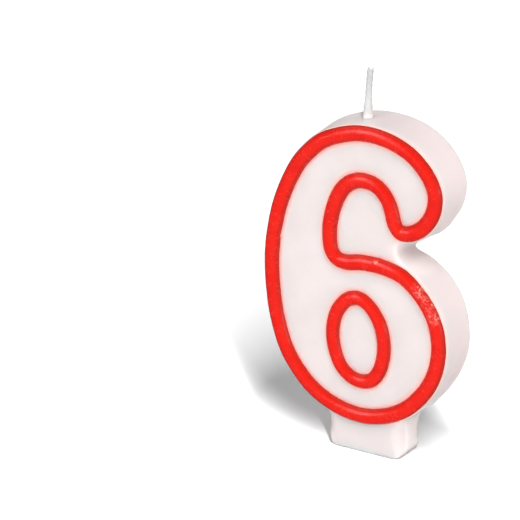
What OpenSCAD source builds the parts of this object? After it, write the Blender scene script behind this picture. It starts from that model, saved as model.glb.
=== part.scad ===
// Numeral birthday candle, digit six: a flat moulded wax slab with an integral
// stand foot, two raised coloured wax border beads on its front face, and a
// three-strand plaited cotton wick with its own wax priming coat.
//
// Frame: millimetres, +Z up, front face towards -Y, +X to the right as seen
// from the front. The origin is the centre of the foot's resting face.

/* [Slab] */
// Thickness of the white wax slab, front face to back face
slab_t = 8.2; // [7.2:0.2:12]
// How far the front rim of the slab stands outside the border bead
rim_front = 0.2; // [0.05:0.05:0.25]
// Shift of the digit up or down on the foot; lower leaves less of the foot clear
digit_z = -0.9; // [-1.2:0.1:0]
// Sideways shift of the digit from the middle of the foot
digit_x = -0.3; // [-1:0.1:1]

/* [Foot] */
// Width of the stand foot
foot_w = 18; // [12:0.5:24]
// How far the foot's front and back faces are set in from the slab's
foot_inset = 0.1; // [0.1:0.1:0.5]
// Radius of the foot's upright edges
foot_edge_r = 2.8; // [0.5:0.1:3]
// Radius of the two lower corners, seen from the front
foot_corner_r = 2.6; // [1:0.1:4]
// Height at which the foot is fused inside the bowl of the digit
foot_top = 13; // [11:0.5:15]

/* [Border] */
// Width of the outer border bead
bead_w = 3.3; // [2:0.1:4]
// Width of the border bead around the counter
ring_w = 3.0; // [2:0.1:4]
// Height of both beads above the front face
bead_h = 1.2; // [0.5:0.1:2]

/* [Wick] */
// Outside diameter of the waxed wick
wick_d = 1.36; // [1.2:0.02:2]
// Outside diameter of the wax that it draws up where it leaves the slab
wick_foot_d = 2.0; // [1.6:0.1:2.6]
// Height of that thicker wax
wick_foot_h = 2.9; // [1:0.1:5]
// Wall of the wax coat around the plait
coat_t = 0.1; // [0.08:0.01:0.14]
// Length of wick that stands out of the slab
wick_out = 10.6; // [6:0.2:16]
// Length of wick cast into the slab
wick_in = 34; // [10:1:50]
// Bending radius of the free end, which leans to the right
wick_bend_r = 80; // [60:5:400]
// Radial clearance between the wick and the hole it is cast in
wick_fit = 0.02; // [0.01:0.01:0.05]
// Length of one full period of the plait
plait_pitch = 4.4; // [4:0.2:8]
// Diameter of one strand of the plait
strand_d = 0.32; // [0.2:0.02:0.34]

/* [Hidden] */

wax_white = [0.96, 0.92, 0.90];
wax_red   = [0.93, 0.12, 0.07];
cotton    = [0.93, 0.93, 0.91];

y_front = -slab_t / 2;      // front face of the slab
y_back  = slab_t / 2;       // flat back face
foot_d  = slab_t - 2 * foot_inset;  // depth of the foot, front to back
steps   = 3;                // spline samples between two knots

// Centre line of the outer border bead, counter-clockwise from the top.
// Third value: how far the slab's back edge stands outside the bead there,
// which is the moulding draft of the side wall.
outer_knots = [
  [  0.0, 70.1, 0.7], [ -4.5, 69.0, 0.6], [ -9.5, 66.5, 0.6], [-14.0, 62.0, 0.8],
  [-16.5, 57.9, 0.8], [-19.0, 52.0, 0.6], [-20.6, 45.5, 0.6], [-21.3, 39.5, 0.6],
  [-21.1, 33.0, 0.6], [-20.1, 26.4, 0.6], [-18.1, 20.4, 0.6], [-15.5, 16.4, 0.6],
  [-12.0, 12.9, 0.6], [ -8.0, 10.7, 0.6], [ -3.5,  9.4, 0.6], [  1.0,  9.3, 0.6],
  [  5.6, 10.4, 0.6], [ 10.1, 12.8, 0.5], [ 14.1, 16.9, 0.3], [ 16.6, 21.1, 0.4],
  [ 17.8, 25.7, 0.8], [ 17.7, 30.5, 1.0], [ 16.2, 35.0, 1.3], [ 13.0, 39.0, 1.4],
  [  9.5, 41.5, 1.4], [  5.0, 42.6, 1.0], [  0.0, 42.6, 1.0], [ -3.5, 41.9, 1.0],
  [ -5.7, 42.2, 1.0], [ -7.0, 43.6, 1.0], [ -7.5, 46.0, 1.0], [ -7.3, 50.0, 1.0],
  [ -6.0, 54.6, 1.0], [ -4.0, 58.0, 1.0], [ -1.5, 59.8, 1.0], [  1.5, 60.2, 1.0],
  [  4.0, 59.4, 1.0], [  6.0, 57.4, 1.0], [  7.0, 55.0, 1.0], [  7.7, 52.5, 1.0],
  [  9.0, 50.9, 1.3], [ 11.0, 51.0, 1.3], [ 13.5, 52.3, 0.8], [ 15.5, 54.5, 0.4],
  [ 16.8, 57.3, 0.6], [ 17.0, 60.5, 1.0], [ 15.5, 64.0, 1.3], [ 12.0, 67.5, 1.3],
  [  7.5, 69.5, 1.1], [  4.0, 70.1, 0.9]
];
// The slab leaves the bead's path at the first knot and rejoins it at the second:
// in between it runs across the waist, under the hook of the digit.
waist_from = 23;
waist_to   = 41;
// Edge of the slab across the waist, from the bowl up to the underside of the
// hook: its place at the front face, then its place at the back face.
waist_knots = [
  [[12.6, 42.1], [13.4, 42.4]], [[11.0, 42.9], [11.7, 43.4]],
  [[ 9.8, 43.6], [10.3, 44.0]], [[ 8.9, 44.2], [ 9.0, 44.3]],
  [[ 8.2, 45.1], [ 8.1, 44.7]], [[ 7.9, 46.2], [ 7.8, 45.2]],
  [[ 8.0, 47.4], [ 8.4, 45.9]], [[ 8.6, 48.4], [ 9.4, 46.5]],
  [[ 9.7, 48.9], [10.5, 47.2]]
];

// Centre line of the bead around the counter, counter-clockwise from the top
ring_knots = [
  [-0.8, 34.7], [-3.3, 33.9], [-5.5, 31.4], [-6.6, 28.4], [-6.9, 25.2],
  [-6.3, 22.1], [-5.0, 19.2], [-3.0, 17.4], [-0.5, 16.7], [ 1.8, 17.2],
  [ 3.6, 19.0], [ 4.7, 21.5], [ 5.2, 24.5], [ 5.0, 27.5], [ 4.2, 30.3],
  [ 2.7, 32.6], [ 1.0, 34.1]
];

// ---- closed spline through a list of knots (centripetal Catmull-Rom)
function tk(a, b) = pow(norm([b[0] - a[0], b[1] - a[1]]), 0.5);
function mix(a, b, ta, tb, t) = ((tb - t) * a + (t - ta) * b) / (tb - ta);
function cr(p, q, r, s, u) =
  let (t0 = 0, t1 = tk(p, q), t2 = t1 + tk(q, r), t3 = t2 + tk(r, s),
       t = t1 + (t2 - t1) * u,
       a = mix(p, q, t0, t1, t), b = mix(q, r, t1, t2, t), c = mix(r, s, t2, t3, t),
       d = mix(a, b, t0, t2, t), e = mix(b, c, t1, t3, t))
  mix(d, e, t1, t2, t);
function spline(k) =
  let (n = len(k))
  [for (i = [0 : n - 1]) for (j = [0 : steps - 1])
    cr(k[(i + n - 1) % n], k[i], k[(i + 1) % n], k[(i + 2) % n], j / steps)];

// ---- unit normal to the right of travel, which is outward on these loops
function nrm(c, i) =
  let (n = len(c), a = c[(i + n - 1) % n], b = c[(i + 1) % n],
       d = [b[0] - a[0], b[1] - a[1]])
  [d[1], -d[0]] / norm(d);
function off(c, i, m) = [c[i][0], c[i][1]] + m * nrm(c, i);

outer = spline(outer_knots);
ring  = spline(ring_knots);

// ---- slab outline at its front rim (back = 0) and at its back edge (back = 1)
function waist_side(n0, n1, back) =
  [for (i = [n0 : n1]) off(outer, i % len(outer),
     bead_w / 2 + rim_front + back * (outer[i % len(outer)][2] - rim_front))];
function outline(back) = concat(
  waist_side(waist_to * steps, (len(outer_knots) + waist_from) * steps, back),
  [for (k = waist_knots) k[0] + back * (k[1] - k[0])]);

// solid between the front outline and the wider back outline
module drafted_slab() {
  f = outline(0); b = outline(1); n = len(f);
  pts = concat([for (p = f) [p[0], y_front, p[1]]], [for (p = b) [p[0], y_back, p[1]]]);
  polyhedron(points = pts, convexity = 8, faces = concat(
    [[for (i = [0 : n - 1]) n - 1 - i]],
    [[for (i = [0 : n - 1]) n + i]],
    [for (i = [0 : n - 1]) let (j = (i + 1) % n) [i, j, j + n, i + n]]));
}

// foot: rounded in plan, and with two rounded lower corners from the front
module foot_plan() {
  r = foot_edge_r; w = foot_w / 2 - r; d = foot_d / 2 - r;
  square([foot_w, 2 * d], center = true);
  square([2 * w, foot_d], center = true);
  for (x = [-w, w], y = [-d, d]) translate([x, y]) circle(r = r, $fn = 48);
}
module foot_face() {
  r = foot_corner_r; w = foot_w / 2 - r;
  translate([-foot_w / 2, r]) square([foot_w, foot_top - r]);
  translate([-w, 0]) square([2 * w, foot_top]);
  for (x = [-w, w]) translate([x, r]) circle(r = r, $fn = 48);
}
module foot() {
  intersection() {
    linear_extrude(height = foot_top) foot_plan();
    translate([0, foot_d, 0]) rotate([90, 0, 0])
      linear_extrude(height = 2 * foot_d) foot_face();
  }
}

// ---- wick axis: upright inside the slab, then a gentle arc to the right
wick_x  = -1.0 + digit_x;   // the wick's place, seen from the front
wick_z0 = 72.2 + digit_z;   // where it leaves the top of the digit
module wick_place() translate([wick_x, 0, wick_z0]) children();

module wax_body() {
  color(wax_white) difference() {
    union() {
      translate([digit_x, 0, digit_z]) drafted_slab();
      foot();
    }
    wick_place() translate([0, 0, -wick_in])
      cylinder(r = wick_d / 2 + wick_fit, h = wick_in + 5, $fn = 48);
  }
}

// ---- half-round bead swept along a closed centre line on the front face
bead_arc = [for (a = [0 : 30 : 180]) [cos(a), sin(a)]];
module bead(c, w) {
  n = len(c); m = len(bead_arc);
  pts = [for (i = [0 : n - 1]) for (q = bead_arc)
    let (p = off(c, i, q[0] * w / 2)) [p[0], y_front - q[1] * bead_h, p[1]]];
  translate([digit_x, 0, digit_z])
    polyhedron(points = pts, convexity = 10, faces = [
      for (i = [0 : n - 1]) for (j = [0 : m - 1])
        let (i2 = (i + 1) % n, j2 = (j + 1) % m)
        [i * m + j, i * m + j2, i2 * m + j2, i2 * m + j]]);
}
module outer_border_bead()   color(wax_red) bead(outer, bead_w);
module counter_border_bead() color(wax_red) bead(ring, ring_w);

// ---- wick
// point on the wick's axis and its sideways direction, s measured from the exit
function axis_pt(s) = s <= 0 ? [0, 0, s]
  : let (a = s / wick_bend_r * 180 / PI) [wick_bend_r * (1 - cos(a)), 0, wick_bend_r * sin(a)];
function axis_side(s) = s <= 0 ? [1, 0, 0]
  : let (a = s / wick_bend_r * 180 / PI) [cos(a), 0, -sin(a)];
// three-strand plait: each strand weaves the same figure, a third of a period apart
plait_a = wick_d / 2 - coat_t - strand_d / 2 - 0.03;
plait_b = plait_a * 0.62;
function strand_pt(s, ph) = let (t = s / plait_pitch * 360 + ph)
  axis_pt(s) + plait_a * sin(t) * axis_side(s) + [0, plait_b * sin(2 * t), 0];
module strand(ph) {
  sides = 6;
  s0 = -wick_in + 0.3; s1 = wick_out - 0.1;
  n = ceil((s1 - s0) / plait_pitch * 8);
  ds = (s1 - s0) / n;
  pts = [for (i = [0 : n])
    let (s = s0 + i * ds, p = strand_pt(s, ph),
         d = strand_pt(s + 0.05, ph) - strand_pt(s - 0.05, ph), t = d / norm(d),
         u0 = cross([0, 1, 0], t), u = u0 / norm(u0), v = cross(t, u))
    for (j = [0 : sides - 1]) let (a = j * 360 / sides)
      p + strand_d / 2 * (cos(a) * u + sin(a) * v)];
  wick_place() polyhedron(points = pts, convexity = 10, faces = concat(
    [[for (j = [0 : sides - 1]) j]],
    [[for (j = [0 : sides - 1]) (n + 1) * sides - 1 - j]],
    [for (i = [0 : n - 1]) for (j = [0 : sides - 1]) let (k = (j + 1) % sides)
      [i * sides + j, (i + 1) * sides + j, (i + 1) * sides + k, i * sides + k]]));
}
// wax coat: a closed tube around the plait, straight in the slab and curved above it
module wick_wax_coat() {
  sides = 20;
  st = concat([-wick_in + 0.2, -0.3, 0.08, 0.14], [for (i = [1 : 10]) i * wick_out / 10]);
  n = len(st);
  function ring_pts(s, r) = let (p = axis_pt(s), u = axis_side(s))
    [for (j = [0 : sides - 1]) let (a = j * 360 / sides) p + r * (cos(a) * u + [0, sin(a), 0])];
  // outside radius: the bore's up to the slab, then the drawn-up wax, then the bare wick
  function ro(s) = s < 0.1 ? wick_d / 2 : wick_d / 2
    + (wick_foot_d - wick_d) / 2 * (0.2 * (1 - s / wick_out) + 0.8 / (1 + exp((s - wick_foot_h) * 2)));
  ri = wick_d / 2 - coat_t;
  pts = concat([for (s = st) for (p = ring_pts(s, ro(s))) p],
               [for (s = st) for (p = ring_pts(s, ri)) p]);
  m = n * sides;
  color(cotton) wick_place() polyhedron(points = pts, convexity = 6, faces = concat(
    [for (i = [0 : n - 2]) for (j = [0 : sides - 1]) let (k = (j + 1) % sides)
      [i * sides + j, (i + 1) * sides + j, (i + 1) * sides + k, i * sides + k]],
    [for (i = [0 : n - 2]) for (j = [0 : sides - 1]) let (k = (j + 1) % sides)
      [m + i * sides + j, m + i * sides + k, m + (i + 1) * sides + k, m + (i + 1) * sides + j]],
    [for (j = [0 : sides - 1]) let (k = (j + 1) % sides) [j, k, m + k, m + j]],
    [for (j = [0 : sides - 1]) let (k = (j + 1) % sides, t = (n - 1) * sides)
      [t + j, m + t + j, m + t + k, t + k]]));
}
module wick_strand_a() color(cotton) strand(0);
module wick_strand_b() color(cotton) strand(120);
module wick_strand_c() color(cotton) strand(240);

wax_body();
outer_border_bead();
counter_border_bead();
wick_wax_coat();
wick_strand_a();
wick_strand_b();
wick_strand_c();
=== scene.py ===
import bpy, math
import numpy as np
from mathutils import Vector, Matrix, noise
from mathutils.geometry import delaunay_2d_cdt


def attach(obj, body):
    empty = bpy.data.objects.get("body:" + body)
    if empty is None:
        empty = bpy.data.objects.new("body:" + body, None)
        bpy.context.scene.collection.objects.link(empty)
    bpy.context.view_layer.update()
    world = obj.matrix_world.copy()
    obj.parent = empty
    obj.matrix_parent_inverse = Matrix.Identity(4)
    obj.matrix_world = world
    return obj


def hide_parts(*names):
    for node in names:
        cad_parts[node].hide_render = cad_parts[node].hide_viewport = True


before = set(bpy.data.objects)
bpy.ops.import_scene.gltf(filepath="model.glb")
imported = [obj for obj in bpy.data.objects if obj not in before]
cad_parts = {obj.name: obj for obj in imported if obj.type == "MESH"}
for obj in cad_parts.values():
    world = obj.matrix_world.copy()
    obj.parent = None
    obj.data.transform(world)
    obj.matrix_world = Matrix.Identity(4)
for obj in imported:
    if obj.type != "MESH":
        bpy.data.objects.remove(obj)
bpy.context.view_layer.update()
MM = 0.001
scene = bpy.context.scene

# --------------------------------------------------------------------------
# design numbers, in millimetres, as the CAD model has them
SLAB_T, RIM_FRONT, DIGIT_X, DIGIT_Z = 8.2, 0.2, -0.3, -0.9
FOOT_W, FOOT_INSET, FOOT_EDGE_R, FOOT_CORNER_R = 18.0, 0.1, 2.8, 2.6
BEAD_W, RING_W, BEAD_H = 3.3, 3.0, 1.2
WICK_D, WICK_OUT, WICK_IN, WICK_BEND_R = 1.36, 10.6, 34.0, 80.0
WICK_FOOT_D, WICK_FOOT_H = 2.0, 2.9
PITCH, STRAND_D, COAT_T = 4.4, 0.32, 0.1
Y_FRONT, Y_BACK = -SLAB_T / 2, SLAB_T / 2
WICK_X, WICK_Z0 = -1.0 + DIGIT_X, 72.2 + DIGIT_Z

OUTER = [
    (0.0, 70.1, .7), (-4.5, 69.0, .6), (-9.5, 66.5, .6), (-14.0, 62.0, .8),
    (-16.5, 57.9, .8), (-19.0, 52.0, .6), (-20.6, 45.5, .6), (-21.3, 39.5, .6),
    (-21.1, 33.0, .6), (-20.1, 26.4, .6), (-18.1, 20.4, .6), (-15.5, 16.4, .6),
    (-12.0, 12.9, .6), (-8.0, 10.7, .6), (-3.5, 9.4, .6), (1.0, 9.3, .6),
    (5.6, 10.4, .6), (10.1, 12.8, .5), (14.1, 16.9, .3), (16.6, 21.1, .4),
    (17.8, 25.7, .8), (17.7, 30.5, 1.0), (16.2, 35.0, 1.3), (13.0, 39.0, 1.4),
    (9.5, 41.5, 1.4), (5.0, 42.6, 1.0), (0.0, 42.6, 1.0), (-3.5, 41.9, 1.0),
    (-5.7, 42.2, 1.0), (-7.0, 43.6, 1.0), (-7.5, 46.0, 1.0), (-7.3, 50.0, 1.0),
    (-6.0, 54.6, 1.0), (-4.0, 58.0, 1.0), (-1.5, 59.8, 1.0), (1.5, 60.2, 1.0),
    (4.0, 59.4, 1.0), (6.0, 57.4, 1.0), (7.0, 55.0, 1.0), (7.7, 52.5, 1.0),
    (9.0, 50.9, 1.3), (11.0, 51.0, 1.3), (13.5, 52.3, .8), (15.5, 54.5, .4),
    (16.8, 57.3, .6), (17.0, 60.5, 1.0), (15.5, 64.0, 1.3), (12.0, 67.5, 1.3),
    (7.5, 69.5, 1.1), (4.0, 70.1, .9)]
WAIST_FROM, WAIST_TO = 23, 41
WAIST = [((12.6, 42.1), (13.4, 42.4)), ((11.0, 42.9), (11.7, 43.4)),
         ((9.8, 43.6), (10.3, 44.0)), ((8.9, 44.2), (9.0, 44.3)),
         ((8.2, 45.1), (8.1, 44.7)), ((7.9, 46.2), (7.8, 45.2)),
         ((8.0, 47.4), (8.4, 45.9)), ((8.6, 48.4), (9.4, 46.5)),
         ((9.7, 48.9), (10.5, 47.2))]
RING = [(-0.8, 34.7), (-3.3, 33.9), (-5.5, 31.4), (-6.6, 28.4), (-6.9, 25.2),
        (-6.3, 22.1), (-5.0, 19.2), (-3.0, 17.4), (-0.5, 16.7), (1.8, 17.2),
        (3.6, 19.0), (4.7, 21.5), (5.2, 24.5), (5.0, 27.5), (4.2, 30.3),
        (2.7, 32.6), (1.0, 34.1)]


# --------------------------------------------------------------------------
# curves
def catmull(k, n, closed=True):
    """centripetal Catmull-Rom through the knots, n points a span"""
    k = np.asarray(k, float)
    m = len(k)
    out = []
    for i in range(m if closed else m - 1):
        if closed:
            p, q, r, s = (k[(i + j - 1) % m] for j in range(4))
        else:
            q, r = k[i], k[i + 1]
            p = k[i - 1] if i else 2 * q - r
            s = k[i + 2] if i + 2 < m else 2 * r - q
        t0 = 0.0
        t1 = t0 + np.linalg.norm((q - p)[:2]) ** .5
        t2 = t1 + np.linalg.norm((r - q)[:2]) ** .5
        t3 = t2 + np.linalg.norm((s - r)[:2]) ** .5
        for u in range(n):
            t = t1 + (t2 - t1) * u / n
            mix = lambda a, b, ta, tb: ((tb - t) * a + (t - ta) * b) / (tb - ta)
            a, b, c = mix(p, q, t0, t1), mix(q, r, t1, t2), mix(r, s, t2, t3)
            d, e = mix(a, b, t0, t2), mix(b, c, t1, t3)
            out.append(mix(d, e, t1, t2))
    if not closed:
        out.append(k[-1])
    return np.array(out)


def resample(c, ds):
    """closed curve, even spacing; every column is carried along"""
    c2 = np.vstack([c, c[:1]])
    s = np.r_[0, np.cumsum(np.linalg.norm(np.diff(c2[:, :2], axis=0), axis=1))]
    n = int(round(s[-1] / ds))
    q = np.linspace(0, s[-1], n, endpoint=False)
    return np.stack([np.interp(q, s, c2[:, j]) for j in range(c.shape[1])], 1)


def blur(c, sigma):
    """circular Gaussian blur along the curve, sigma in samples"""
    r = int(4 * sigma) + 1
    w = np.exp(-.5 * (np.arange(-r, r + 1) / sigma) ** 2)
    w /= w.sum()
    out = np.zeros_like(c)
    for j, v in zip(range(-r, r + 1), w):
        out += v * np.roll(c, -j, 0)
    return out


def normals(c):
    d = np.roll(c[:, :2], -1, 0) - np.roll(c[:, :2], 1, 0)
    d /= np.linalg.norm(d, axis=1)[:, None]
    return np.c_[d[:, 1], -d[:, 0]]


def hash_noise(p, scale, seed=0.0):
    """smooth noise in about -1..1 at points given in mm"""
    return np.array([noise.noise(Vector((float(a[0]) / scale + seed, float(a[1]) / scale - seed * .7,
                                         float(a[2]) / scale + seed * 1.3))) for a in p])


# --------------------------------------------------------------------------
# meshes
def new_mesh(name, verts_mm, faces, smooth=True):
    me = bpy.data.meshes.new(name)
    me.from_pydata([tuple(v) for v in np.asarray(verts_mm) * MM], [], faces)
    me.validate()
    me.update()
    if smooth:
        me.polygons.foreach_set("use_smooth", [True] * len(me.polygons))
    ob = bpy.data.objects.new(name, me)
    scene.collection.objects.link(ob)
    return ob


def set_attr(ob, name, values):
    a = ob.data.attributes.new(name, "FLOAT", "POINT")
    a.data.foreach_set("value", np.asarray(values, np.float32))


def inside(poly, pts):
    x, y = pts[:, 0], pts[:, 1]
    hit = np.zeros(len(pts), bool)
    a, b = poly, np.roll(poly, -1, 0)
    for (x1, y1), (x2, y2) in zip(a, b):
        c = (y1 > y) != (y2 > y)
        if y1 != y2:
            hit ^= c & (x < (x2 - x1) * (y - y1) / (y2 - y1) + x1)
    return hit


def nearest(pts, curve, chunk=2000):
    """distance from each point to a dense curve"""
    out = np.empty(len(pts))
    for i in range(0, len(pts), chunk):
        d = pts[i:i + chunk, None, :] - curve[None, :, :]
        out[i:i + chunk] = np.sqrt((d ** 2).sum(2).min(1))
    return out


def cap(ring2d, spacing):
    """interior grid points and triangles that fill a closed outline"""
    n = len(ring2d)
    lo, hi = ring2d.min(0), ring2d.max(0)
    rows = []
    h = spacing * math.sqrt(3) / 2
    for j in range(int((hi[1] - lo[1]) / h) + 1):
        x = np.arange(lo[0] + (spacing / 2 if j % 2 else 0), hi[0], spacing)
        rows.append(np.c_[x, np.full(len(x), lo[1] + j * h)])
    g = np.vstack(rows)
    g = g[inside(ring2d, g)]
    g = g[nearest(g, ring2d) > spacing * .6]
    pts = [Vector(p) for p in ring2d] + [Vector(p) for p in g]
    v, _, f, ov, _, _ = delaunay_2d_cdt(pts, [], [list(range(n))], 1, 1e-7)
    if len(v) != len(pts):
        raise RuntimeError("cap changed its points")
    back = [o[0] for o in ov]
    tris = [[back[i] for i in t] for t in f]
    return g, tris


# ---- the two border beads' centre lines
outer_c = blur(resample(catmull(OUTER, 14), .20), 1.6)
ring_c = blur(resample(catmull(RING, 14), .20), 2.2)
for c in (outer_c, ring_c):
    c[:, :2] += (DIGIT_X, DIGIT_Z)


# ---- outline of the whole casting, front edge and back edge point by point
def casting_outline():
    k = np.array(OUTER, float)
    m, n = len(k), 14
    c = catmull(k, n)
    nn = normals(c)
    f = c[:, :2] + nn * (BEAD_W / 2 + RIM_FRONT)
    b = c[:, :2] + nn * (BEAD_W / 2 + c[:, 2:3])
    idx = [i % (m * n) for i in range(WAIST_TO * n, (m + WAIST_FROM) * n + 1)]
    f, b = f[idx], b[idx]
    wf = catmull(np.vstack([f[-1:], [w[0] for w in WAIST], f[:1]]), 12, False)[1:-1]
    wb = catmull(np.vstack([b[-1:], [w[1] for w in WAIST], b[:1]]), 12, False)[1:-1]
    f = np.vstack([f, wf])
    b = np.vstack([b, wb])
    f += (DIGIT_X, DIGIT_Z)
    b += (DIGIT_X, DIGIT_Z)
    kind = np.zeros(len(f))
    # take out the stretch over the foot and put the foot's outline there
    low = (np.abs(f[:, 0]) < FOOT_W / 2) & (f[:, 1] < 13)
    i = np.arange(len(f))
    a0, a1 = i[low][0], i[low][-1]
    zl, zr = f[a0 - 1][1], f[a1 + 1][1]
    r, w = FOOT_CORNER_R, FOOT_W / 2
    left = [(-w, z) for z in np.arange(zl - .5, r, -.5)]
    ca = [(-w + r - r * math.cos(t), r - r * math.sin(t)) for t in np.linspace(0, math.pi / 2, 10)]
    bot = [(x, 0) for x in np.arange(-w + r + .5, w - r - .2, .5)]
    cb = [(w - r + r * math.sin(t), r - r * math.cos(t)) for t in np.linspace(0, math.pi / 2, 10)]
    right = [(w, z) for z in np.arange(r + .5, zr, .5)]
    foot = np.array(left + ca + bot + cb + right)
    f = np.vstack([f[:a0], foot, f[a1 + 1:]])
    b = np.vstack([b[:a0], foot, b[a1 + 1:]])
    kind = np.r_[kind[:a0], np.ones(len(foot)), kind[a1 + 1:]]
    return np.c_[f, b, kind]


o = resample(casting_outline(), .30)
kind = o[:, 4].copy()
o = np.c_[blur(o[:, :4], 1.1), kind]
F, B = o[:, :2], o[:, 2:4]
kind = blur(kind[:, None], 2.0)[:, 0]
NF = blur(normals(F), 1.0)
NF /= np.linalg.norm(NF, axis=1)[:, None]
upright = kind * np.clip((F[:, 1] - .3) / 2.2, 0, 1) * np.clip((8.8 - F[:, 1]) / 1.6, 0, 1)
r_front = .28 + (FOOT_EDGE_R - .28) * upright          # the foot's side edges are round
r_front = np.maximum(r_front, .28 + .22 * kind)
soft = (np.clip((47.0 - F[:, 1]) / 1.5, 0, 1) * np.clip((F[:, 0] - 6.5) / .8, 0, 1)
        * np.clip((11.2 - F[:, 0]) / 1.8, 0, 1) * (F[:, 1] > 42))
r_front = np.maximum(r_front, .28 + .62 * soft)        # the waist's edge is softer
r_back = .45 + (FOOT_EDGE_R - .45) * upright
r_front, r_back = blur(r_front[:, None], 4)[:, 0], blur(r_back[:, None], 4)[:, 0]


def casting():
    n = len(F)
    rings = []                                   # (inset, y) for every outline point

    def add(inset, y):
        t = np.clip((y - Y_FRONT) / SLAB_T, 0, 1)[:, None]
        p = F + (B - F) * t - NF * inset[:, None]
        rings.append(np.c_[p[:, 0], y, p[:, 1]])

    yf, yb = np.full(n, Y_FRONT), np.full(n, Y_BACK)
    add(r_front + .22, yf)
    for a in np.radians([90, 75, 60, 45, 30, 15, 0]):
        add(r_front * (1 - math.cos(a)), yf + r_front * (1 - math.sin(a)))
    for u in np.linspace(0, 1, 12)[1:-1]:
        add(np.zeros(n), (yf + r_front) * (1 - u) + (yb - r_back) * u)
    for a in np.radians([0, 15, 30, 45, 60, 75, 90]):
        add(r_back * (1 - math.cos(a)), yb - r_back * (1 - math.sin(a)))
    add(r_back + .22, yb)
    m = len(rings)
    v = list(np.vstack(rings))
    faces = []
    for j in range(m - 1):
        for i in range(n):
            k = (i + 1) % n
            faces.append([j * n + i, (j + 1) * n + i, (j + 1) * n + k, j * n + k])
    for j, y, flip, gap in ((0, Y_FRONT, False, .42), (m - 1, Y_BACK, True, .8)):
        g, tris = cap(rings[j][:, [0, 2]], gap)
        base = len(v)
        v += [np.array([p[0], y, p[1]]) for p in g]
        for t in tris:
            q = [j * n + i if i < n else base + i - n for i in t]
            a, b_, c = (np.asarray(v[i])[[0, 2]] for i in q)
            ccw = (b_[0] - a[0]) * (c[1] - a[1]) - (b_[1] - a[1]) * (c[0] - a[0]) > 0
            if ccw == flip:
                q = q[::-1]
            faces.append(q)
    v = np.array(v)
    # the foot's two faces are set in a little from the slab's
    s = np.clip((8.0 - v[:, 2]) / 1.2, 0, 1) * (np.abs(v[:, 0]) < FOOT_W / 2 + .8)
    v[:, 1] *= 1 - s * s * (3 - 2 * s) * FOOT_INSET / Y_BACK
    # hand-poured unevenness: a few hundredths of a millimetre, none at the base
    dent = -np.abs(hash_noise(v, 9.0, 3.1) * .055 + hash_noise(v, 3.2, 7.7) * .016)
    dent *= np.clip(v[:, 2] / 3.0, 0, 1)
    onface = np.clip((np.abs(v[:, 1]) - SLAB_T / 2 + .5) / .5, 0, 1)
    v[:, 1] += np.sign(v[:, 1]) * dent * onface
    side = dent * (1 - onface)
    wall = np.zeros((len(v), 2))
    wall[:m * n] = np.tile(NF, (m, 1))
    v[:, 0] += wall[:, 0] * side
    v[:, 2] += wall[:, 1] * side
    return v, faces


def spot(p, at, r):
    """1 at a place on the face, fading to 0 at distance r (mm)"""
    d = np.hypot(p[:, 0] - at[0], p[:, 1] - at[1]) / r
    return np.clip(1 - d, 0, 1) ** 2 * (3 - 2 * np.clip(1 - d, 0, 1))


# places on the border, in the CAD frame: the rubbed shoulder of the bowl, the
# seam where the poured line starts and ends, and the lap on the long left stroke
RUB = [(13.6, 38.6), (15.4, 36.2), (16.6, 34.0)]
SEAM = (3.2, 42.0)
LAP = (-20.3, 43.2)


def sweep_bead(c, w, name, seed):
    """half-round bead with a short skirt that is sunk into the slab"""
    nn = blur(normals(c), 1.2)
    nn /= np.linalg.norm(nn, axis=1)[:, None]
    ang = np.radians(np.linspace(0, 180, 29))
    sec = [(1.0, -.10)] + [(math.cos(a), math.sin(a) ** .90) for a in ang] + [(-1.0, -.10)]
    n, m = len(c), len(sec)
    p3 = np.c_[c[:, 0], np.zeros(n), c[:, 1]]
    rub = sum(spot(c, q, 2.6) for q in RUB)
    rub = np.clip(rub, 0, 1)
    seam = spot(c, SEAM, .45)
    # running distance past the lap, downward on the left stroke
    lap = np.clip(1 - np.abs(c[:, 1] - LAP[1] - 1.6) / 1.6, 0, 1) * (c[:, 0] < -15) * (c[:, 1] > LAP[1])
    lap_step = np.where(c[:, 1] > LAP[1], 1 - np.clip((c[:, 1] - LAP[1]) / 3.2, 0, 1), 0) * (c[:, 0] < -15)
    wo = 1 + .020 * hash_noise(p3, 2.6, seed) + .012 * hash_noise(p3, .9, seed + 5)
    wi = 1 + .020 * hash_noise(p3, 2.9, seed + 3) + .012 * hash_noise(p3, .8, seed + 7)
    hv = .965 + .03 * hash_noise(p3, 3.4, seed + 9)
    if w == BEAD_W:
        wo = wo - rub * (.035 + .05 * np.abs(hash_noise(p3, .45, 2.2)))
        wi = wi - .14 * lap_step
        hv = hv - .05 * rub - .10 * seam
    hv = np.minimum(hv, .992)
    lat = .05 * hash_noise(p3, 4.5, seed + 2)
    v, across = [], []
    for i in range(n):
        for x, y in sec:
            k = wo[i] if x > 0 else wi[i]
            q = c[i, :2] + nn[i] * (x * w / 2 * k + lat[i])
            v.append((q[0], Y_FRONT - y * BEAD_H * hv[i], q[1]))
            across.append(x)
    v = np.array(v)
    if w == BEAD_W:
        # chafed surface: shallow flat-bottomed dents on the rubbed shoulder
        r = np.clip(sum(spot(v[:, [0, 2]], q, 2.4) for q in RUB), 0, 1)
        top = np.clip((Y_FRONT - v[:, 1]) / .4, 0, 1)
        v[:, 1] += top * r * .05 * np.clip(hash_noise(v, .34, 6.1) * 2.2 + .3, 0, 1)
    faces = []
    for i in range(n):
        i2 = (i + 1) % n
        for j in range(m):
            j2 = (j + 1) % m
            faces.append([i * m + j, i2 * m + j, i2 * m + j2, i * m + j2])
    ob = new_mesh(name, v, faces)
    set_attr(ob, "across", across)
    return ob


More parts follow.
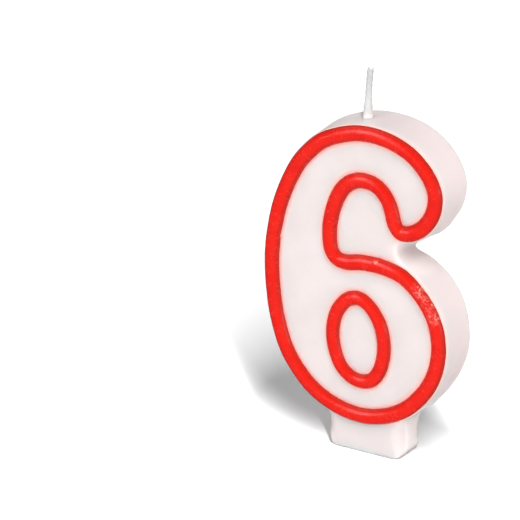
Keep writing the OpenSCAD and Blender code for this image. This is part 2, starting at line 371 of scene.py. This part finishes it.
v, faces = casting()
body = new_mesh("white_wax_casting", v, faces)
curve = np.vstack([outer_c[:, :2], ring_c[:, :2]])
pw = np.r_[np.full(len(outer_c), BEAD_W / 2), np.full(len(ring_c), RING_W / 2)]
pts = v[:, [0, 2]]
d1 = nearest(pts, outer_c[:, :2]) - BEAD_W / 2
d2 = nearest(pts, ring_c[:, :2]) - RING_W / 2
near = np.minimum(d1, d2) + np.clip(v[:, 1] - Y_FRONT, 0, 99)
set_attr(body, "near_red", np.clip(near, 0, 4))

outer_bead = sweep_bead(outer_c, BEAD_W, "outer_red_border", 1.7)
ring_bead = sweep_bead(ring_c, RING_W, "counter_red_border", 4.3)


# ---- wick
def axis_frame(s):
    if s <= 0:
        return np.array([0, 0, s]), np.array([1.0, 0, 0]), np.array([0, 0, 1.0])
    a = s / WICK_BEND_R
    return (np.array([WICK_BEND_R * (1 - math.cos(a)), 0, WICK_BEND_R * math.sin(a)]),
            np.array([math.cos(a), 0, -math.sin(a)]), np.array([math.sin(a), 0, math.cos(a)]))


PA = WICK_D / 2 - COAT_T - STRAND_D / 2 - .03
PB = PA * .62
WICK_AT = np.array([WICK_X, 0, WICK_Z0])


def strand_offset(s, ph):
    t = s / PITCH * 2 * math.pi + ph
    return PA * math.sin(t), PB * math.sin(2 * t)


def strand(name, ph, seed):
    """one cotton strand, with the twist of its yarns as relief"""
    s0, s1, n, m = -WICK_IN + .3, WICK_OUT - .1, 900, 14
    v, f = [], []

    def centre(s):
        p, u, _ = axis_frame(s)
        x, y = strand_offset(s, ph)
        return p + x * u + np.array([0, y, 0])

    for i in range(n + 1):
        s = s0 + (s1 - s0) * i / n
        p = centre(s)
        t = centre(s + .02) - centre(s - .02)
        t /= np.linalg.norm(t)
        u = np.cross([0, 1, 0], t)
        u /= np.linalg.norm(u)
        w = np.cross(t, u)
        end = min(1.0, (s1 - s) / .12)
        r0 = STRAND_D / 2 * (math.sqrt(max(0, 1 - (1 - end) ** 2)) * .8 + .2)
        for j in range(m):
            a = 2 * math.pi * j / m
            r = r0 * (.93 + .07 * math.cos(4 * a + s * 9.0))
            v.append(WICK_AT + p + r * (math.cos(a) * u + math.sin(a) * w))
    for i in range(n):
        for j in range(m):
            k = (j + 1) % m
            f.append([i * m + j, i * m + k, (i + 1) * m + k, (i + 1) * m + j])
    f.append(list(range(m))[::-1])
    f.append([n * m + j for j in range(m)])
    return new_mesh(name, v, f)


strands = [strand("wick_yarn_" + c, 2 * math.pi * i / 3, i) for i, c in enumerate("abc")]


def coat():
    """wax that follows the plait, with the foot that it draws up from the slab"""
    s0, s1, n, m = -1.2, WICK_OUT - .28, 260, 48
    out, inn = [], []
    rr = STRAND_D / 2 + COAT_T + .01
    for i in range(n + 1):
        s = s0 + (s1 - s0) * i / n
        p, u, t = axis_frame(s)
        cs = [strand_offset(s, k * 2 * math.pi / 3) for k in range(3)]
        for j in range(m):
            a = 2 * math.pi * j / m
            d = np.array([math.cos(a), math.sin(a)])
            acc = 0.0
            for c in cs:
                c = np.array(c)
                k = c @ d
                h = k * k - c @ c + rr * rr
                r = k + math.sqrt(h) if h > 0 else 0.0
                acc += max(r, .30) ** 10
            env = min(WICK_D / 2, (acc / 1.6) ** .1)
            r = WICK_D / 2 - .015 - .20 * (WICK_D / 2 - env)
            k = max(s, 0.0)
            r += (WICK_FOOT_D - WICK_D) / 2 * (.2 * (1 - k / WICK_OUT)
                                               + .8 / (1 + math.exp((k - WICK_FOOT_H) * 2)))
            r *= 1 + .012 * noise.noise(Vector((math.cos(a) * 2, math.sin(a) * 2, s * 1.3)))
            e = max(0.0, s - .05)
            r += .16 * math.exp(-(e / .40) ** 1.3)
            if s > s1 - .1:
                r -= .05 * ((s - s1 + .1) / .1) ** 2
            lip = .05 * noise.noise(Vector((math.cos(a), math.sin(a), 9.1))) if i == n else 0
            q = WICK_AT + p + t * lip + r * (d[0] * u + np.array([0, d[1], 0]))
            out.append(q)
            r2 = r - .07 if i == n else .22
            if i == n:
                inn.append(WICK_AT + p + t * lip + r2 * (d[0] * u + np.array([0, d[1], 0])))
    v = out
    f = []
    for i in range(n):
        for j in range(m):
            k = (j + 1) % m
            f.append([i * m + j, i * m + k, (i + 1) * m + k, (i + 1) * m + j])
    # top: a shallow dish between the strands' ends
    base = len(v)
    v = v + inn
    for j in range(m):
        k = (j + 1) % m
        f.append([n * m + j, n * m + k, base + k, base + j])
    p, u, t = axis_frame(s1 - .12)
    v.append(WICK_AT + p)
    for j in range(m):
        f.append([base + j, base + (j + 1) % m, len(v) - 1])
    v.append(WICK_AT + axis_frame(s0)[0])
    for j in range(m):
        f.append([(j + 1) % m, j, len(v) - 1])
    return new_mesh("wick_wax_priming", v, f)


wick_coat = coat()


# --------------------------------------------------------------------------
# materials
def material(name):
    m = bpy.data.materials.new(name)
    m.use_nodes = True
    nt = m.node_tree
    nt.nodes.clear()
    out = nt.nodes.new("ShaderNodeOutputMaterial")
    bs = nt.nodes.new("ShaderNodeBsdfPrincipled")
    nt.links.new(bs.outputs[0], out.inputs[0])
    return m, nt, bs


def node(nt, kind, **kw):
    x = nt.nodes.new(kind)
    for k, val in kw.items():
        if k in x.inputs:
            x.inputs[k].default_value = val
        else:
            setattr(x, k, val)
    return x


def tex_noise(nt, vec, scale, detail=4.0, rough=.55, distortion=0.0):
    x = node(nt, "ShaderNodeTexNoise")
    x.inputs["Scale"].default_value = scale
    x.inputs["Detail"].default_value = detail
    x.inputs["Roughness"].default_value = rough
    x.inputs["Distortion"].default_value = distortion
    nt.links.new(vec, x.inputs["Vector"])
    return x.outputs["Fac"]


def ramp(nt, fac, a, b, lo=0.0, hi=1.0, smooth=True):
    x = node(nt, "ShaderNodeMapRange")
    x.interpolation_type = "SMOOTHSTEP" if smooth else "LINEAR"
    x.inputs["From Min"].default_value = a
    x.inputs["From Max"].default_value = b
    x.inputs["To Min"].default_value = lo
    x.inputs["To Max"].default_value = hi
    nt.links.new(fac, x.inputs["Value"])
    return x.outputs["Result"]


def mixc(nt, fac, a, b, mode="MIX"):
    x = node(nt, "ShaderNodeMix", data_type="RGBA", blend_type=mode)
    for sock, val in ((x.inputs[0], fac), (x.inputs[6], a), (x.inputs[7], b)):
        if isinstance(val, (float, int)):
            sock.default_value = val
        elif isinstance(val, tuple):
            sock.default_value = (*val, 1.0)
        else:
            nt.links.new(val, sock)
    return x.outputs[2]


def maths(nt, op, a, b=None, clamp=False):
    x = node(nt, "ShaderNodeMath", operation=op, use_clamp=clamp)
    for sock, val in ((x.inputs[0], a), (x.inputs[1], b)):
        if val is None:
            continue
        if isinstance(val, (float, int)):
            sock.default_value = val
        else:
            nt.links.new(val, sock)
    return x.outputs[0]


def bump(nt, height, dist, strength=1.0, normal=None):
    x = node(nt, "ShaderNodeBump")
    x.inputs["Strength"].default_value = strength
    x.inputs["Distance"].default_value = dist
    nt.links.new(height, x.inputs["Height"])
    if normal is not None:
        nt.links.new(normal, x.inputs["Normal"])
    return x.outputs["Normal"]


def near_point(nt, pos, centre, r0, r1):
    """1 within r0 of a point given in metres, fading to 0 at r1"""
    x = node(nt, "ShaderNodeVectorMath", operation="DISTANCE")
    nt.links.new(pos, x.inputs[0])
    x.inputs[1].default_value = centre
    return ramp(nt, x.outputs["Value"], r0, r1, 1.0, 0.0)


def white_wax():
    m, nt, bs = material("white_paraffin_wax")
    pos = node(nt, "ShaderNodeTexCoord").outputs["Object"]
    cloud = tex_noise(nt, pos, 160, 3)
    fine = tex_noise(nt, pos, 1500, 5, .6)
    grain = tex_noise(nt, pos, 5200, 3, .6)
    c = mixc(nt, ramp(nt, cloud, .3, .7), (.530, .482, .474), (.556, .507, .499))
    near = node(nt, "ShaderNodeAttribute", attribute_name="near_red").outputs["Fac"]
    pink = ramp(nt, near, 0.0, 1.8, .34, 0.0)
    c = mixc(nt, pink, c, (.76, .53, .49))
    # the narrow halo is partly dye from the red border and partly painted light: brighter than the wax, it cancels the
    # contact shade beside the border
    dye_and_painted_fill_halo = ramp(nt, near, 0.0, 1.0, .85, 0.0)
    c = mixc(nt, dye_and_painted_fill_halo, c, (.98, .44, .39))
    deep = node(nt, "ShaderNodeSeparateXYZ")
    nt.links.new(pos, deep.inputs[0])
    wall = ramp(nt, deep.outputs["Y"], -.0038, -.0020, 0.0, .7)
    c = mixc(nt, wall, c, (.530, .462, .460))
    # paler in the waist: stands in for the light that thin wax passes on
    thin = near_point(nt, pos, (.0100, .0, .0446), .0018, .0062)
    thin = maths(nt, "MULTIPLY", thin, ramp(nt, deep.outputs["Y"], -.0041, -.0034, 0.0, .40))
    c = mixc(nt, thin, c, (.86, .77, .75))
    # paler where the key doesn't reach: stands in for light scattered inside the wax
    facing = node(nt, "ShaderNodeSeparateXYZ")
    nt.links.new(node(nt, "ShaderNodeNewGeometry").outputs["Normal"], facing.inputs[0])
    low = ramp(nt, facing.outputs["Z"], -.75, -.10, .6, 0.0)
    left = ramp(nt, facing.outputs["X"], -.45, .15, .7, 0.0)
    pale = maths(nt, "MULTIPLY", maths(nt, "MAXIMUM", low, left), ramp(nt, deep.outputs["Y"], -.0041, -.0030, 0.0, 1.0))
    c = mixc(nt, pale, c, (.68, .61, .60))
    # painted shade: a thin greyer line runs along the slab's rounded back edge, where it turns away from the light
    back_edge_painted_shade = maths(nt, "MULTIPLY", ramp(nt, deep.outputs["Y"], .0034, .0041, 0.0, .8),
                ramp(nt, facing.outputs["Y"], .35, .80, 1.0, 0.0))
    c = mixc(nt, back_edge_painted_shade, c, (.28, .26, .26))
    # the foot's wax is a little thicker and greyer than the slab's
    split = node(nt, "ShaderNodeSeparateXYZ")
    nt.links.new(pos, split.inputs[0])
    c = mixc(nt, ramp(nt, split.outputs["Z"], .006, .010, .9, 0.0), c, (.505, .467, .461))
    # painted light: the foot's right side wall is made paler, standing in for light that the bowl's shadow keeps off it
    foot_side_painted_light = maths(nt, "MULTIPLY", ramp(nt, facing.outputs["X"], .86, .99, 0.0, .7),
                 ramp(nt, split.outputs["Z"], .007, .011, 1.0, 0.0))
    c = mixc(nt, foot_side_painted_light, c, (.66, .61, .60))
    nt.links.new(c, bs.inputs["Base Color"])
    rough = ramp(nt, tex_noise(nt, pos, 420, 4), .3, .7, .34, .50)
    nt.links.new(rough, bs.inputs["Roughness"])
    bs.inputs["IOR"].default_value = 1.44
    bs.inputs["Specular IOR Level"].default_value = .42
    bs.inputs["Subsurface Weight"].default_value = .95
    bs.inputs["Subsurface Radius"].default_value = (1.0, .72, .66)
    bs.inputs["Subsurface Scale"].default_value = .0070
    n1 = bump(nt, tex_noise(nt, pos, 260, 3), .00012, .35)
    pits = ramp(nt, tex_noise(nt, pos, 900, 2, .4), .70, .76, 0.0, -1.0)
    n2 = bump(nt, pits, .00005, .5, n1)
    n3 = bump(nt, maths(nt, "ADD", fine, maths(nt, "MULTIPLY", grain, .5)), .00003, .35, n2)
    nt.links.new(n3, bs.inputs["Normal"])
    return m


RUB_M = [(.0136, -.0050, .0386), (.0156, -.0050, .0362), (.0168, -.0050, .0338)]
SEAM_M = (.0034, -.0050, .0429)


def red_wax():
    m, nt, bs = material("red_border_wax")
    pos = node(nt, "ShaderNodeTexCoord").outputs["Object"]
    cloud = tex_noise(nt, pos, 300, 3)
    fine = tex_noise(nt, pos, 2200, 5, .6)
    c = mixc(nt, ramp(nt, cloud, .3, .7), (.49, .0045, .001), (.535, .007, .0015))
    across = node(nt, "ShaderNodeAttribute", attribute_name="across").outputs["Fac"]
    # painted shade: the border's red darkens toward both edges, where its flanks turn away from the light and meet the
    # slab
    edge = ramp(nt, maths(nt, "ABSOLUTE", across), .52, .99)
    c = mixc(nt, maths(nt, "MULTIPLY", edge, .85), c, (.29, .011, .006))
    # rubbed places, where the red is broken up and paler
    speck = tex_noise(nt, pos, 1900, 4, .62, .4)
    zone = near_point(nt, pos, RUB_M[0], .0004, .0024)
    for q in RUB_M[1:]:
        zone = maths(nt, "MAXIMUM", zone, near_point(nt, pos, q, .0004, .0022))
    outer = ramp(nt, across, -.75, .75, .35, 1.0)
    zone = maths(nt, "MULTIPLY", zone, outer)
    rub = maths(nt, "MULTIPLY", zone, ramp(nt, speck, .44, .68), True)
    chip = near_point(nt, pos, SEAM_M, .0001, .0007)
    chip = maths(nt, "MULTIPLY", chip, ramp(nt, speck, .38, .52))
    worn = maths(nt, "MAXIMUM", rub, maths(nt, "MULTIPLY", chip, .9))
    c = mixc(nt, maths(nt, "MULTIPLY", worn, .62), c, (.82, .34, .28))
    nt.links.new(c, bs.inputs["Base Color"])
    rough = ramp(nt, tex_noise(nt, pos, 700, 4), .3, .7, .20, .29)
    rough = maths(nt, "ADD", rough, maths(nt, "MULTIPLY", zone, .2))
    nt.links.new(rough, bs.inputs["Roughness"])
    bs.inputs["IOR"].default_value = 1.44
    bs.inputs["Specular IOR Level"].default_value = .40
    bs.inputs["Subsurface Weight"].default_value = .08
    bs.inputs["Subsurface Radius"].default_value = (1.0, .12, .06)
    bs.inputs["Subsurface Scale"].default_value = .0006
    n1 = bump(nt, tex_noise(nt, pos, 520, 2), .00012, .4)
    n2 = bump(nt, fine, .00003, .3, n1)
    n3 = bump(nt, maths(nt, "MULTIPLY", rub, -1.0), .00012, .8, n2)
    nt.links.new(n3, bs.inputs["Normal"])
    return m


def priming():
    m, nt, bs = material("waxed_wick_coat")
    pos = node(nt, "ShaderNodeTexCoord").outputs["Object"]
    c = mixc(nt, tex_noise(nt, pos, 900, 4), (.41, .41, .407), (.49, .49, .485))
    split = node(nt, "ShaderNodeSeparateXYZ")
    nt.links.new(pos, split.inputs[0])
    c = mixc(nt, ramp(nt, split.outputs["Z"], .0712, .0735, 1.0, 0.0), c, (.60, .55, .54))
    c = mixc(nt, ramp(nt, split.outputs["Z"], .0745, .0800, 0.0, .8), c, (.36, .36, .358))
    nt.links.new(c, bs.inputs["Base Color"])
    nt.links.new(ramp(nt, tex_noise(nt, pos, 1500, 3), .3, .7, .38, .6), bs.inputs["Roughness"])
    bs.inputs["IOR"].default_value = 1.44
    bs.inputs["Subsurface Weight"].default_value = .3
    bs.inputs["Subsurface Radius"].default_value = (1.0, .9, .85)
    bs.inputs["Subsurface Scale"].default_value = .0006
    n1 = bump(nt, tex_noise(nt, pos, 2600, 4), .00006, .5)
    nt.links.new(n1, bs.inputs["Normal"])
    return m


def cotton():
    m, nt, bs = material("wick_cotton_yarn")
    pos = node(nt, "ShaderNodeTexCoord").outputs["Object"]
    wv = node(nt, "ShaderNodeTexWave", wave_type="BANDS", bands_direction="DIAGONAL")
    wv.inputs["Scale"].default_value = 2600
    wv.inputs["Distortion"].default_value = 3
    nt.links.new(pos, wv.inputs["Vector"])
    c = mixc(nt, wv.outputs["Fac"], (.78, .77, .74), (.90, .89, .87))
    nt.links.new(c, bs.inputs["Base Color"])
    bs.inputs["Roughness"].default_value = .8
    bs.inputs["Sheen Weight"].default_value = .2
    nt.links.new(bump(nt, wv.outputs["Fac"], .00003, .6), bs.inputs["Normal"])
    return m


M_WHITE, M_RED, M_COAT, M_COTTON = white_wax(), red_wax(), priming(), cotton()
for ob, mat, slot, nodes in (
        (body, M_WHITE, "white_wax", ("wax_body",)),
        (outer_bead, M_RED, "red_wax", ("outer_border_bead",)),
        (ring_bead, M_RED, "red_wax", ("counter_border_bead",)),
        (wick_coat, M_COAT, "priming_wax", ("wick_wax_coat",)),
        (strands[0], M_COTTON, "wick_cotton", ("wick_strand_a",)),
        (strands[1], M_COTTON, "wick_cotton", ("wick_strand_b",)),
        (strands[2], M_COTTON, "wick_cotton", ("wick_strand_c",))):
    ob.data.materials.append(mat)
    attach(ob, "root")
    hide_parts(*nodes)

# --------------------------------------------------------------------------
# floor, light and camera
WORLD_P, KEY_P, LEFT_P, RIGHT_P, TOP_P = .17, 148.0, 6.4, 5.5, 7.0
KEY_AZ, KEY_EL = 43.0, 46.0
me = bpy.data.meshes.new("floor")
me.from_pydata([(-4, -4, 0), (4, -4, 0), (4, 4, 0), (-4, 4, 0)], [], [(0, 1, 2, 3)])
floor = bpy.data.objects.new("floor", me)
scene.collection.objects.link(floor)
fm, nt, bs = material("floor_white")
bs.inputs["Base Color"].default_value = (.985, .985, .985, 1)
bs.inputs["Roughness"].default_value = .9
bs.inputs["Specular IOR Level"].default_value = 0
me.materials.append(fm)
floor.visible_glossy = False

world = bpy.data.worlds.new("soft_studio")
scene.world = world
world.use_nodes = True
world.node_tree.nodes["Background"].inputs[0].default_value = (1, 1, 1, 1)
world.node_tree.nodes["Background"].inputs[1].default_value = WORLD_P


def area(name, azimuth, elevation, dist, size, size_y, power, colour=(1, 1, 1)):
    """a soft box facing the candle; azimuth runs from the front toward +X"""
    a, e = math.radians(azimuth), math.radians(elevation)
    at = Vector((math.sin(a) * math.cos(e), -math.cos(a) * math.cos(e), math.sin(e))) * dist
    ld = bpy.data.lights.new(name, "AREA")
    ld.shape = "RECTANGLE"
    ld.size, ld.size_y = size, size_y
    ld.energy = power
    ld.color = colour
    ob = bpy.data.objects.new(name, ld)
    ob.location = at + Vector((0, 0, .035))
    ob.rotation_mode = "QUATERNION"
    ob.rotation_quaternion = at.to_track_quat("Z", "Y")
    scene.collection.objects.link(ob)
    return ob


key = area("key_strip", KEY_AZ, KEY_EL, 3.0, .10, 2.52, KEY_P)
key.visible_glossy = False
area("left_box", -31.0, 13.0, 1.5, .46, .80, LEFT_P)
area("right_box", 70.0, 4.0, 2.0, 1.0, .6, RIGHT_P)
area("top_box", -70.0, 56.0, 2.0, 1.5, 1.5, TOP_P)

az, el, roll = (math.radians(x) for x in (33.145, 22.25, -.671))
ca, sa, ce, se = math.cos(az), math.sin(az), math.cos(el), math.sin(el)
bk = Vector((sa * ce, -ca * ce, se))
rt, up = Vector((ca, sa, 0)), Vector((-se * sa, se * ca, ce))
r2 = rt * math.cos(roll) + up * math.sin(roll)
u2 = up * math.cos(roll) - rt * math.sin(roll)
target = Vector((-.0008, Y_FRONT * MM, .0360))
fpx, dist = 5000.0, 1.0
pos = target + bk * dist - r2 * ((359.88 - 260) * dist / fpx) + u2 * ((288.20 - 260) * dist / fpx)
cam_d = bpy.data.cameras.new("camera")
cam_d.sensor_width = 36
cam_d.lens = fpx / 520 * 36
cam_d.clip_start, cam_d.clip_end = .05, 20
cam = bpy.data.objects.new("camera", cam_d)
cam.matrix_world = Matrix(((r2.x, u2.x, bk.x, pos.x), (r2.y, u2.y, bk.y, pos.y),
                           (r2.z, u2.z, bk.z, pos.z), (0, 0, 0, 1)))
scene.collection.objects.link(cam)
scene.camera = cam
scene.view_settings.view_transform = "Standard"
